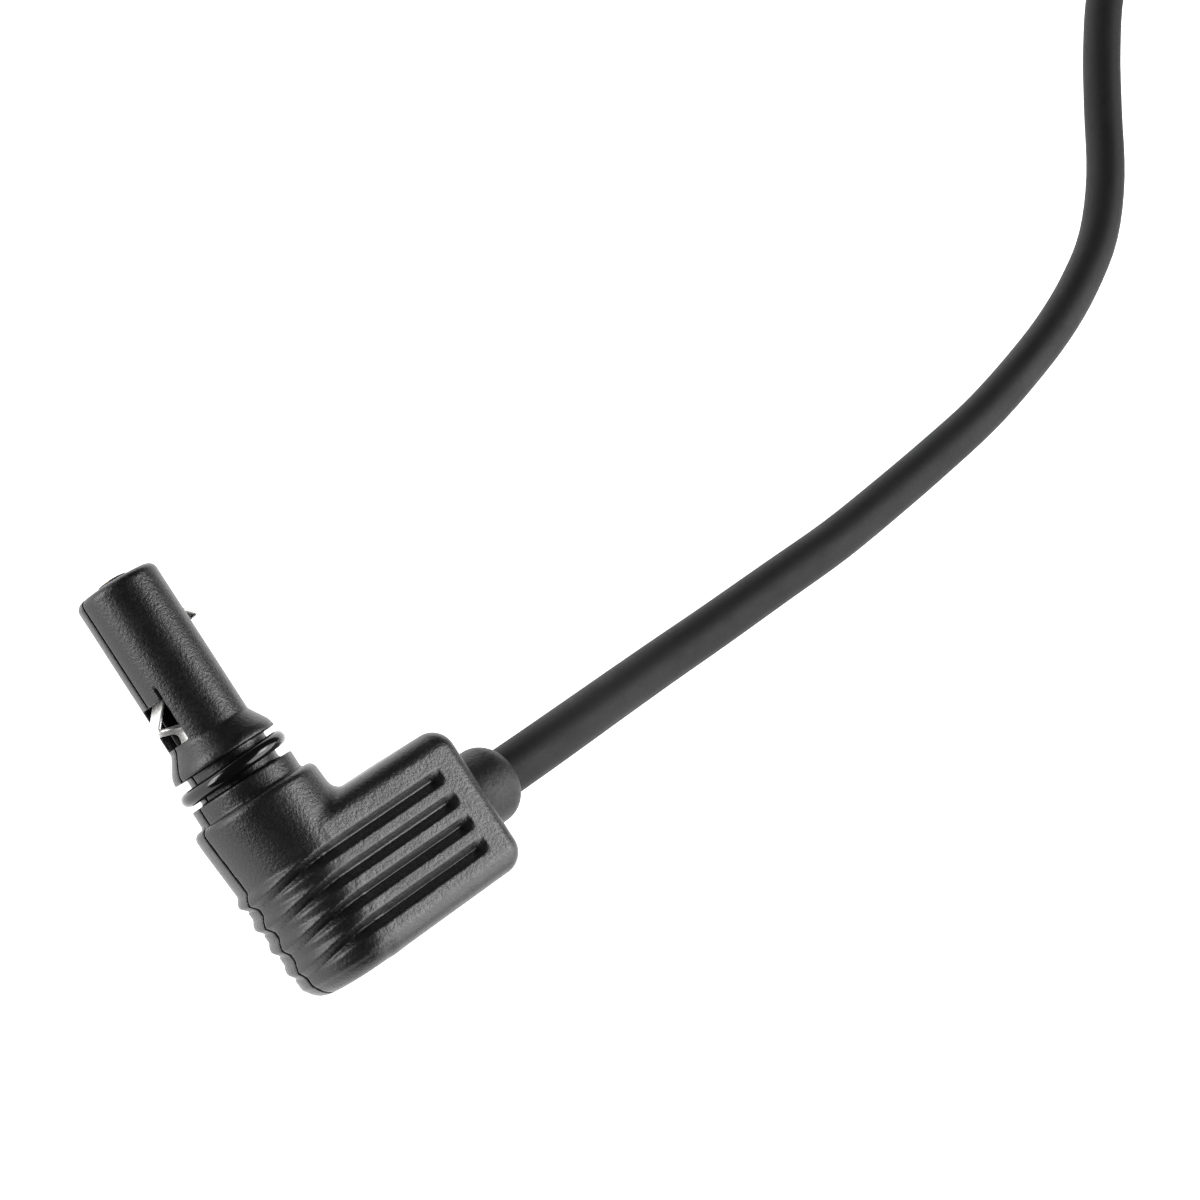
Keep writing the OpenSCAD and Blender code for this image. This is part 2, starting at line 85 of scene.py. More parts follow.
@dataclass(frozen=True)
class Finish:
    """One finish: a shader with procedural grain and mottling.

    Attributes:
        name: Name of the material.
        colour: Base colour, linear.
        rough: Mean roughness.
        slot: The record's material slot; not used.
        metal: 1 for metals.
        grain: Size of the moulded grain in millimetres.
        bump: Height of the grain in millimetres.
        mottle: Share by which colour and roughness vary over the surface.
        specular: Specular level of the shader.
        patch: How many times wider the mottling's patches are than the grain.
        patch_share: Share of the patches in the mottling, next to the grain.
    """

    name: str
    colour: tuple[float, float, float]
    rough: float
    slot: str
    metal: float = 0.0
    grain: float = 0.22
    bump: float = 0.006
    mottle: float = 0.12
    specular: float = 0.5
    patch: float = 12.0
    patch_share: float = 0.45

    def material(self) -> bpy.types.Material:
        """Makes the finish's material the first time that it is asked for.

        Returns:
            The material.
        """
        made = bpy.data.materials.get(self.name)
        if made is not None:
            return made
        mat = bpy.data.materials.new(self.name)
        mat.use_nodes = True
        nodes, links = mat.node_tree.nodes, mat.node_tree.links
        shader = feed(nodes["Principled BSDF"], Metallic=self.metal, Specular_IOR_Level=self.specular)
        place = nodes.new("ShaderNodeTexCoord")
        fine = self._noise(nodes, links, place, self.grain, 3.0, 0.6)
        broad = self._noise(nodes, links, place, self.grain * self.patch, 4.0, 0.55)
        both = feed(nodes.new("ShaderNodeMix"), Factor=self.patch_share)
        links.new(fine.outputs["Fac"], both.inputs[2])
        links.new(broad.outputs["Fac"], both.inputs[3])
        tint = nodes.new("ShaderNodeValToRGB")
        for stop, share in zip(tint.color_ramp.elements, (1 - self.mottle, 1 + self.mottle)):
            stop.color = (*(min(1.0, c * share) for c in self.colour), 1)
        tint.color_ramp.elements[0].position = 0.3
        tint.color_ramp.elements[1].position = 0.7
        links.new(both.outputs[0], tint.inputs["Fac"])
        links.new(tint.outputs["Color"], shader.inputs["Base Color"])
        least, most = self.rough * (1 - self.mottle), min(1.0, self.rough * (1 + self.mottle))
        spread = nodes.new("ShaderNodeMapRange")
        feed(spread, From_Min=0.25, From_Max=0.75, To_Min=least, To_Max=most)
        links.new(both.outputs[0], spread.inputs["Value"])
        links.new(spread.outputs["Result"], shader.inputs["Roughness"])
        relief = feed(nodes.new("ShaderNodeBump"), Strength=1.0, Distance=self.bump * MM)
        links.new(fine.outputs["Fac"], relief.inputs["Height"])
        links.new(relief.outputs["Normal"], shader.inputs["Normal"])
        return mat

    @staticmethod
    def _noise(nodes: bpy.types.Nodes, links: bpy.types.NodeLinks, place: Node, size: float,
               detail: float, rough: float) -> Node:
        """Adds a noise texture on Object coordinates.

        Args:
            nodes: The material's nodes.
            links: The material's links.
            place: The texture coordinate node.
            size: Feature size in millimetres.
            detail: Octaves of detail.
            rough: Share of each finer octave.

        Returns:
            The noise node.
        """
        noise = feed(nodes.new("ShaderNodeTexNoise"), Scale=1 / (size * MM), Detail=detail, Roughness=rough)
        links.new(place.outputs["Object"], noise.inputs["Vector"])
        return noise


SHELL = Finish("moulded_shell", (0.0050, 0.0048, 0.0057), 0.36, "plug_shell", grain=0.26,
               bump=0.045, mottle=0.3, specular=0.6)
SEAL = Finish("glossy_rubber", (0.003, 0.003, 0.003), 0.15, "seal_rubber", grain=0.5, bump=0.003,
              mottle=0.1)
INSULATOR = Finish("carrier_plastic", (0.010, 0.010, 0.010), 0.45, "insulator", grain=0.3, bump=0.006)
NICKEL = Finish("bright_nickel", (0.88, 0.87, 0.85), 0.38, "nickel", metal=0.55, grain=0.4, bump=0.004,
                mottle=0.15)
BRASS = Finish("drawn_brass", (0.78, 0.56, 0.25), 0.27, "brass", metal=1, grain=0.4, bump=0.003)
BOSS = Finish("soft_vinyl", (0.008, 0.008, 0.009), 0.5, "soft_boss", grain=0.32,
              bump=0.06, mottle=0.3, specular=0.4)
JACKET = Finish("soft_jacket", (0.009, 0.009, 0.010), 0.6, "cord_jacket", grain=0.3, bump=0.02, mottle=0.2,
                specular=0.22)
CRIMP = Finish("stamped_steel", (0.56, 0.56, 0.58), 0.3, "crimp_steel", metal=1, grain=0.5, bump=0.004)
RED_WIRE = Finish("red_vinyl", (0.50, 0.03, 0.02), 0.35, "wire_red")
WHITE_WIRE = Finish("white_vinyl", (0.78, 0.76, 0.70), 0.35, "wire_white")
YELLOW_WIRE = Finish("yellow_vinyl", (0.78, 0.55, 0.04), 0.35, "wire_yellow")
CASE = Finish("moulded_case", (0.030, 0.030, 0.032), 0.46, "handset_plastic", grain=0.26, bump=0.014,
              mottle=0.16)
BUTTON = Finish("button_plastic", (0.045, 0.045, 0.048), 0.34, "button_plastic", grain=0.3, bump=0.005)
BOARD = Finish("phenolic_board", (0.25, 0.12, 0.05), 0.5, "phenolic", grain=0.6, bump=0.01, mottle=0.25)
SCREW = Finish("black_screw", (0.10, 0.10, 0.11), 0.32, "screw_steel", metal=1, grain=0.4, bump=0.004)
WIRE = Finish("spring_wire", (0.62, 0.62, 0.63), 0.25, "spring_steel", metal=1, grain=0.3, bump=0.002)


# Distance fields


def smooth_max(a: Array, b: Array | float, k: float) -> Array:
    """Returns the larger of two fields, with the edge between them rounded over about k."""
    return -smooth_min(-a, -b, k)


def smooth_min(a: Array, b: Array | float, k: float | Array) -> Array:
    """Returns the smaller of two fields, with the corner between them filled over about k."""
    h = np.clip(0.5 + 0.5 * (b - a) / np.maximum(k, 1e-4), 0, 1)
    return b + (a - b) * h - k * h * (1 - h)


def rounded(*axes: Array, r: float) -> Array:
    """Rounds the solid that lies inside several half spaces.

    Args:
        axes: The half spaces' fields.
        r: Radius of the solid's edges.

    Returns:
        The solid's field.
    """
    pulled = [a + r for a in axes]
    outside = sum(np.maximum(a, 0) ** 2 for a in pulled)
    return np.sqrt(outside) + np.minimum(np.maximum.reduce(pulled), 0) - r


def slab_of(p: Array, low: float, high: float) -> Array:
    """Returns the field of the layer from low to high along one coordinate."""
    return np.abs(p - (low + high) / 2) - (high - low) / 2


def rounded_rectangle(x: Array, y: Array, centre: Pair, size: Pair, r: float) -> Array:
    """Returns the field of a rectangle of that size about its centre, with corners of radius r."""
    return rounded(np.abs(x - centre[0]) - size[0] / 2, np.abs(y - centre[1]) - size[1] / 2, r=r)


@dataclass(frozen=True)
class Net:
    """A surface net: the mesh where a field is zero.

    Attributes:
        low: Lowest corner of the sampled box, in millimetres.
        high: Highest corner.
        step: Width of a cell.
    """

    low: Point
    high: Point
    step: float

    def mesh(self, shape: Field) -> tuple[Array, Array]:
        """Samples a field and joins the places where it is zero.

        Args:
            shape: The field, negative inside.

        Returns:
            The vertices and the quads of the surface.
        """
        counts = [int(math.ceil((b - a) / self.step)) + 1 for a, b in zip(self.low, self.high)]
        axes = [a + self.step * np.arange(n, dtype=np.float32) for a, n in zip(self.low, counts)]
        d = shape(*np.meshgrid(*axes, indexing="ij")).astype(np.float32)
        inside = d < 0
        filled = sum(
            inside[i : i - 1 or None, j : j - 1 or None, k : k - 1 or None].astype(np.int8)
            for i in (0, 1) for j in (0, 1) for k in (0, 1)
        )
        cells = np.argwhere((filled > 0) & (filled < 8))
        index = np.full(filled.shape, -1, np.int64)
        index[tuple(cells.T)] = np.arange(len(cells))
        verts = np.array(self.low) + self.step * (cells + self._crossings(d, cells))
        quads = np.concatenate([self._quads(inside, index, axis) for axis in range(3)])
        return self._settle(shape, verts), quads

    @staticmethod
    def _crossings(d: Array, cells: Array) -> Array:
        """Finds where each cell's edges cross the surface.

        Args:
            d: The field at the grid's points.
            cells: Indices of the cells that the surface passes through.

        Returns:
            The mean crossing of each cell, in cells from its lowest corner.
        """
        corners = [np.array(c) for c in np.ndindex(2, 2, 2)]
        total, count = np.zeros(cells.shape), np.zeros(len(cells))
        for a in corners:
            for b in corners:
                if (b - a).sum() != 1 or (b - a).min() < 0:
                    continue
                da, db = d[tuple((cells + a).T)], d[tuple((cells + b).T)]
                cut = (da < 0) != (db < 0)
                share = np.where(cut, da / np.where(cut, da - db, 1), 0)
                total += np.where(cut[:, None], a + share[:, None] * (b - a), 0)
                count += cut
        return total / count[:, None]

    @staticmethod
    def _quads(inside: Array, index: Array, axis: int) -> Array:
        """Makes the quads across the grid's edges that run along one axis.

        Args:
            inside: Which of the grid's points are inside.
            index: The vertex number of each cell, or -1.
            axis: The axis.

        Returns:
            The quads as rows of vertex numbers, facing outwards.
        """
        u, v = (axis + 1) % 3, (axis + 2) % 3
        first, second = [slice(None)] * 3, [slice(None)] * 3
        first[axis], second[axis] = slice(None, -1), slice(1, None)
        for other in (u, v):
            first[other] = second[other] = slice(1, -1)
        start, end = inside[tuple(first)], inside[tuple(second)]
        at = np.argwhere(start != end)
        at[:, u] += 1
        at[:, v] += 1
        ring = []
        for du, dv in ((1, 1), (0, 1), (0, 0), (1, 0)):
            cell = at.copy()
            cell[:, u] -= du
            cell[:, v] -= dv
            ring.append(index[tuple(cell.T)])
        quads = np.stack(ring, axis=1)
        flip = ~start[start != end]
        quads[flip] = quads[flip, ::-1]
        return quads

    def _settle(self, shape: Field, verts: Array) -> Array:
        """Moves vertices onto the surface along the field's slope.

        Args:
            shape: The field.
            verts: The vertices.

        Returns:
            The moved vertices.
        """
        reach = self.step * 0.1
        for _ in range(3):
            slope = np.stack([
                shape(*(verts + shift).T) - shape(*(verts - shift).T) for shift in np.eye(3) * reach
            ], axis=1) / (2 * reach)
            far = shape(*verts.T) / np.maximum((slope**2).sum(1), 0.2)
            verts = verts - slope * np.clip(far, -self.step / 2, self.step / 2)[:, None]
        return verts


# Meshes


def linked(name: str, data: bpy.types.ID) -> Piece:
    """Makes an object and links it to the scene.

    Args:
        name: Its name.
        data: Its mesh, curve, camera or light.

    Returns:
        The object.
    """
    made = bpy.data.objects.new(name, data)
    bpy.context.scene.collection.objects.link(made)
    return made


def new_mesh(name: str, verts: Array, faces: Array | list) -> Piece:
    """Makes a smooth mesh object from points in millimetres.

    Args:
        name: Name of the piece.
        verts: Points, one row each.
        faces: Faces as rows of indices, all of one length when they are an array.

    Returns:
        The object, linked to the scene, at the origin.
    """
    mesh = bpy.data.meshes.new(name)
    if isinstance(faces, np.ndarray):
        sides = faces.shape[1]
        mesh.vertices.add(len(verts))
        mesh.vertices.foreach_set("co", (np.asarray(verts) * MM).astype(np.float32).ravel())
        mesh.loops.add(faces.size)
        mesh.loops.foreach_set("vertex_index", faces.astype(np.int32).ravel())
        mesh.polygons.add(len(faces))
        mesh.polygons.foreach_set("loop_start", np.arange(0, faces.size, sides, dtype=np.int32))
        mesh.update(calc_edges=True)
        mesh.validate()
    else:
        mesh.from_pydata([tuple(c * MM for c in v) for v in verts], [], faces)
    mesh.polygons.foreach_set("use_smooth", np.ones(len(mesh.polygons), bool))
    mesh.update()
    return linked(name, mesh)


def place(piece: Piece, body: Body, finish: Finish, *nodes: str) -> Piece:
    """Gives a finished piece its material, its body and the nodes of the model that it stands for.

    Args:
        piece: The piece.
        body: The body that it rides on.
        finish: Its finish.
        nodes: The nodes that it replaces.

    Returns:
        The piece.
    """
    piece.data.materials.clear()
    piece.data.materials.append(finish.material())
    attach(piece, body.value)
    if nodes:
        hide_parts(*nodes)
    LOG.info("%s: %s, for %s", piece.name, finish.name, ", ".join(nodes) or "itself")
    return piece


def net_piece(name: str, net: Net, shape: Field) -> Piece:
    """Makes the mesh object of a field."""
    verts, quads = net.mesh(shape)
    return new_mesh(name, verts, quads)


def turned(name: str, profile: Sequence[Pair], to_mm: Matrix, sides: int = 96) -> Piece:
    """Turns a profile about an axis.

    Args:
        name: Name of the piece.
        profile: Points (radius, place along the axis), counter-clockwise, closed on itself.
        to_mm: Takes the axis from Z to its place, in millimetres.
        sides: Steps around the axis.

    Returns:
        The closed mesh object.
    """
    turns = np.linspace(0, 2 * math.pi, sides, endpoint=False)
    verts, n = [], len(profile)
    for angle in turns:
        for radius, along in profile:
            verts.append(to_mm @ Vector((radius * math.cos(angle), radius * math.sin(angle), along)))
    faces = [
        (s * n + k, t * n + k, t * n + (k + 1) % n, s * n + (k + 1) % n)
        for s in range(sides) for t in [(s + 1) % sides] for k in range(n)
    ]
    return new_mesh(name, np.array([tuple(v) for v in verts]), np.array(faces))


def arc(centre: Pair, r: float, start: float, end: float, steps: int = 8) -> list[Pair]:
    """Returns points on an arc between two angles in degrees."""
    return [
        (centre[0] + r * math.cos(math.radians(a)), centre[1] + r * math.sin(math.radians(a)))
        for a in np.linspace(start, end, steps + 1)
    ]


def smooth_line(points: Sequence[Sequence[float]], parts: int) -> Array:
    """Runs a Catmull-Rom curve through points.

    Args:
        points: The points.
        parts: Steps between each two of them.

    Returns:
        The curve's points, one row each.
    """
    p = np.array(points, float)
    ends = np.vstack([2 * p[0] - p[1], p, 2 * p[-1] - p[-2]])
    t = np.arange(parts)[:, None] / parts
    spans = [
        0.5 * (2 * b + (c - a) * t + (2 * a - 5 * b + 4 * c - d) * t**2 + (3 * b - a - 3 * c + d) * t**3)
        for a, b, c, d in zip(ends, ends[1:], ends[2:], ends[3:])
    ]
    return np.vstack([*spans, p[-1:]])


ALONG_X = Matrix.Rotation(math.pi / 2, 4, "Y")
ALONG_Y = Matrix.Rotation(-math.pi / 2, 4, "X")


# Plug


@dataclass
class Plug:
    """The plug's two half shells, their seal and strain relief, and the contacts."""

    barrel_r: float = 3.75
    bore_r: float = 2.9
    barrel_end: float = 1.2
    nose_r: float = 1.4
    nose_proud: float = 0.2
    flare_r: float = 4.82
    y_flare: float = -14.9
    y_lip: float = -16.7
    y_groove: float = -17.25
    y_spigot: float = -19.8
    y_shoulder: float = -21.45
    y_grip: float = -24.7
    y_base: float = -38.62
    neck_r: float = 5.9
    reach: float = 16.87
    corner_r: float = 2.1
    edge_r: float = 1.9
    wall: float = 1.6
    taper: float = 0.045
    rib_pitch: float = 2.28
    rib_top: float = -27.77
    ribs: int = 4
    groove_end: float = 13.35
    rib_deep: float = 0.68
    rib_proud: float = 0.6
    seam: float = 0.1
    ring_tilt: float = 2.5
    y_cord: float = -31.6
    gland_r: float = 3.05
    rib_crest: float = 1.05
    rib_valley: Pair = (0.68, 1.0)
    rib_foot: Pair = (1.42, 0.3)
    tip_dome: float = 0.02
    tip_edge: float = 0.6
    lip_edge: float = 0.12
    y_core: float = -22.0
    side_in: float = 0.08
    waist: float = 0.21
    swell: float = 0.25
    neck_edge: float = 0.7
    foot_edge: float = 2.2
    base_window: Pair = (-14.54, -10.58)
    base_window_half: float = 1.88
    tip_window: Pair = (-6.9, -4.1)
    tip_window_half: float = 1.4
    hairline_z: float = 1.84
    seal_mean_r: float = 4.47
    seal_tube_r: float = 0.65
    boss_r: float = 3.6
    boss_length: float = 5.8
    boss_hole_r: float = 2.12
    boss_dome_r: float = 2.3
    spring_thick: float = 0.3
    spring_wide: float = 2.1
    step: float = 0.15
    core_step: float = 0.13

    def revolved(self, rho: Array, y: Array) -> Array:
        """Shapes the barrel, the flare, the floor of the groove and the spigot.

        Args:
            rho: Distances from the barrel's axis.
            y: Places along it.

        Returns:
            The field of these round parts together.
        """
        dome = y + self.tip_dome * rho**2
        barrel = rounded(rho - self.barrel_r, dome, self.y_core - y, r=self.tip_edge)
        slope = (self.flare_r - self.barrel_r) / (self.y_flare - self.y_lip)
        cone = (rho - self.barrel_r - (self.y_flare - y) * slope) / math.hypot(1, slope)
        flare = smooth_max(rounded(rho - self.flare_r, self.y_groove - y, r=self.lip_edge), cone, 0.25)
        flare = np.maximum(flare, y - self.y_flare - 1)
        spigot_y = slab_of(y, self.y_shoulder - 0.5, self.y_spigot)
        spigot = rounded(rho - self.flare_r, spigot_y, r=self.lip_edge)
        return np.minimum(smooth_min(barrel, flare, 0.06), spigot)

    def housing(self, x: Array, y: Array, z: Array) -> Array:
        """Shapes the plain housing, without its ribs.

        Args:
            x, y, z: Places, in millimetres.

        Returns:
            The housing's field.
        """
        waist = self.waist * np.clip((-23 - y) / 4.7, 0, 1)
        side = self.neck_r - self.side_in - self.taper * np.maximum(self.y_shoulder - y, 0) - waist
        right = self.neck_r + self.swell * np.clip((-22 - y) / 2.7, 0, 1)
        narrow = x * self.neck_r / np.where(x < 0, side, right)
        rho = np.hypot(narrow, z)
        neck = rounded(rho - self.neck_r, y - self.y_shoulder, self.y_base + 1 - y, r=self.neck_edge)
        foot = rounded(rho - self.neck_r, y - self.y_shoulder + 5, self.y_base - y, r=self.foot_edge)
        mid_x, mid_y = self.reach / 2 - 0.5, (self.y_grip + self.y_base) / 2
        size = (self.reach + 1.0, self.y_grip - self.y_base)
        outline = rounded_rectangle(x, y, (mid_x, mid_y), size, self.corner_r)
        grip = rounded(outline, np.abs(z) - self.neck_r, r=self.edge_r)
        fill = 0.25 + np.clip((self.neck_r - np.abs(z)) / 2.5, 0, 1) * np.clip((y + 33) / 4, 0, 1)
        return smooth_min(smooth_min(neck, foot, 0.01), grip, fill)

    def ribbing(self, x: Array, y: Array, z: Array) -> Array:
        """Shapes the ribs.

        On the faces they are V grooves with a steep wall towards the barrel. Round the side the steep walls
        slide down their pitch and the material above swells into teeth, so one dark band turns the corner.

        Args:
            x, y, z: Places, in millimetres.

        Returns:
            How deep the ribs cut, negative where they stand proud.
        """
        turn = np.clip(np.degrees(np.arctan2(-x, np.abs(z))) / 90, 0, 1)
        turn = turn * turn * (3 - 2 * turn)
        s = self.rib_top - y
        row = np.clip(np.floor(s / self.rib_pitch), 0, self.ribs - 1)
        s = s - row * self.rib_pitch
        crest = self.rib_crest * turn
        valley, end = (at + more * turn for at, more in (self.rib_valley, self.rib_foot))
        proud = (self.rib_proud - 0.06 * row) * turn
        deep = np.minimum(self.rib_deep * (1 - turn), 0.7 * np.maximum(self.groove_end - x, 0))
        rise = np.sin(np.clip(s / np.maximum(crest, 1e-3), 0, 1) * math.pi / 2)
        fall = np.clip((s - crest) / (valley - crest), 0, 1)
        back = np.clip((s - valley) / (end - valley), 0, 1)
        return (proud + deep) * fall - proud * rise - deep * back

    def outside(self, x: Array, y: Array, z: Array) -> Array:
        """Shapes the whole outside of the plug.

        Args:
            x, y, z: Places, in millimetres.

        Returns:
            The field, as if the plug were solid.
        """
        body = self.housing(x, y, z)
        near = np.clip((body + 1.4) / 0.6, 0, 1)
        body = body + near * self.ribbing(x, y, z)
        return np.minimum(body, self.revolved(np.hypot(x, z), y))

    def shell(self, x: Array, y: Array, z: Array) -> Array:
        """Shapes the half shell on the +Z side.

        Args:
            x, y, z: Places, in millimetres.

        Returns:
            The half shell's field.
        """
        rho = np.hypot(x, z)
        solid = self.outside(x, y, z)
        bore = rounded(rho - self.bore_r, y + self.barrel_end, -24.5 - y, r=0.2)
        mouth = rho - self.nose_r - 0.06
        mouth = np.maximum(mouth, -2 - y)
        chamber = np.maximum(self.housing(x, y, z) + self.wall, y - self.y_shoulder + 2.2)
        gland = np.maximum(np.hypot(y - self.y_cord, z) - self.gland_r, 13 - x)
        base_window = rounded(x + 1.5, slab_of(y, *self.base_window), np.abs(z) - self.base_window_half,
                              r=self.lip_edge)
        tip_window = rounded(1.5 - x, slab_of(y, *self.tip_window), np.abs(z) - self.tip_window_half,
                             r=self.lip_edge)
        hairline_z = np.abs(np.abs(z) - self.hairline_z) - 0.05
        hairline = np.maximum.reduce([x + 2.6, slab_of(y, -10.7, -9.5), hairline_z])
        holes = np.minimum.reduce([bore, mouth, chamber, gland, base_window, tip_window, hairline])
        skin = smooth_max(solid, -holes, self.lip_edge)
        lip = self.seam * np.clip((solid + 0.5) / 0.12, 0, 1)
        return smooth_max(skin, lip - z, 0.1)

    def build_shells(self) -> None:
        """Makes the front half shell and its mirror image behind."""
        low, high = (-6.65, self.y_base - 0.4, -0.3), (self.reach + 0.5, 0.6, self.neck_r + 0.5)
        net = Net(low, high, self.step)
        verts, quads = net.mesh(self.shell)
        place(new_mesh("front_half_shell", verts, quads), Body.MAIN, SHELL, "plug_front_shell")
        mirrored = verts * np.array((1, 1, -1))
        place(new_mesh("rear_half_shell", mirrored, quads[:, ::-1]), Body.MAIN, SHELL, "plug_rear_shell")

    def carrier(self, x: Array, y: Array, z: Array) -> Array:
        """Shapes the insulating contact carrier with its nose and pockets.

        Args:
            x, y, z: Places, in millimetres.

        Returns:
            The carrier's field.
        """
        rho = np.hypot(x, z)
        core = rounded(rho - 2.85, y + self.barrel_end + 0.05, -22.65 - y, r=0.25)
        nose = rounded(rho - self.nose_r, y - self.nose_proud + 0.04 * rho**2, -3 - y, r=0.15)
        tip_pocket = rounded(1.2 - x, slab_of(y, -13.36, -3.36), np.abs(z) - 1.3, r=0.1)
        base_pocket = rounded(x + 1.2, slab_of(y, -17.35, -9.45), np.abs(z) - 1.3, r=0.1)
        holes = np.minimum.reduce([np.maximum(rho - 0.93, -10 - y), tip_pocket, base_pocket])
        return smooth_max(np.minimum(core, nose), -holes, 0.08)

    def build_core(self) -> None:
        """Makes the contact carrier."""
        net = Net((-3.1, -23.0, -3.1), (3.1, 0.5, 3.1), self.core_step)
        place(net_piece("carrier", net, self.carrier), Body.MAIN, INSULATOR, "contact_carrier")

    def build_seal(self) -> None:
        """Makes the O-ring in its groove."""
        ring = arc((self.seal_mean_r, 0), self.seal_tube_r, 0, 360, 40)[:-1]
        tilt = Matrix.Rotation(math.radians(self.ring_tilt), 4, "Z")
        where = Matrix.Translation((0, (self.y_groove + self.y_spigot) / 2, 0)) @ tilt @ ALONG_Y
        place(turned("seal_ring", ring, where, 160), Body.MAIN, SEAL, "o_ring")

    def build_relief(self) -> None:
        """Makes the soft boss that the cord leaves through."""
        r, length, hole, bend = self.boss_r, self.boss_length, self.boss_hole_r, self.boss_dome_r
        outer = [(hole, -1.55), (3.0, -1.55), (3.0, 0.02), (r - 0.05, 0.05), (r, 0.25)]
        dome = arc((r - bend, length - bend), bend, 0, 68, 14)
        profile = outer + [(r, 1.5)] + dome + [(hole + 0.15, length - 0.03), (hole, length - 0.15)]
        where = Matrix.Translation((self.reach, self.y_cord, 0)) @ ALONG_X
        place(turned("cord_boss", profile, where, 96), Body.MAIN, BOSS, "plug_strain_relief")

    def build_springs(self) -> None:
        """Makes the two sprung contacts."""
        tip = [(2.35, -3.7), (2.45, -4.1), (3.0, -4.38), (3.6, -4.86), (4.42, -5.6), (4.6, -5.78),
               (4.5, -5.95), (3.75, -6.12), (2.9, -6.45), (2.45, -6.8), (2.35, -7.4), (2.35, -13.1)]
        base = [(-2.35, -9.9), (-2.45, -10.4), (-2.85, -10.95), (-4.28, -12.4), (-4.45, -12.62),
                (-4.36, -12.78), (-2.9, -13.14), (-2.3, -13.35), (-2.0, -13.8), (-2.1, -14.4),
                (-2.35, -15.0), (-2.35, -17.1)]
        thick, wide = self.spring_thick, self.spring_wide
        tip_leaf = leaf_strip("tip_spring_leaf", tip, thick, wide)
        base_leaf = leaf_strip("base_spring_leaf", base, thick, wide)
        place(tip_leaf, Body.TIP_SPRING, NICKEL, "tip_contact_spring")
        place(base_leaf, Body.BASE_SPRING, NICKEL, "base_contact_spring")

    def build(self) -> None:
        """Makes every visible piece of the plug."""
        self.build_shells()
        self.build_core()
        self.build_seal()
        self.build_relief()
        self.build_springs()


def leaf_strip(name: str, line: Sequence[Pair], thick: float, wide: float) -> Piece:
    """Makes a bent spring leaf with rounded bends and softened long edges.

    Args:
        name: Name of the piece.
        line: Points (x, y) of its middle line.
        thick: Thickness of the strip.
        wide: Width along Z.

    Returns:
        The closed mesh object.
    """
    path = smooth_line([(x, y, 0) for x, y in line], 6)[:, :2]
    along = np.gradient(path, axis=0)
    along /= np.linalg.norm(along, axis=1)[:, None]
    side = np.stack([-along[:, 1], along[:, 0]], axis=1)
    h, w, c = thick / 2, wide / 2, thick / 4
    section = [(h, w - c), (h - c, w), (c - h, w), (-h, w - c),
               (-h, c - w), (c - h, -w), (h - c, -w), (h, c - w)]
    rings = [[(*(p + s * a), b) for a, b in section] for p, s in zip(path, side)]
    n, m = len(rings), len(section)
    faces = [(i * m + k, i * m + (k + 1) % m, (i + 1) * m + (k + 1) % m, (i + 1) * m + k)
             for i in range(n - 1) for k in range(m)]
    faces += [tuple(range(m))[::-1], tuple((n - 1) * m + k for k in range(m))]
    made = new_mesh(name, [p for ring in rings for p in ring], faces)
    fix_normals(made)
    return made


def fix_normals(piece: Piece) -> None:
    """Turns a closed mesh's faces outwards.

    Args:
        piece: The object with the mesh.
    """
    work = bmesh.new()
    work.from_mesh(piece.data)
    bmesh.ops.recalc_face_normals(work, faces=work.faces)
    work.to_mesh(piece.data)
    work.free()


# Cord


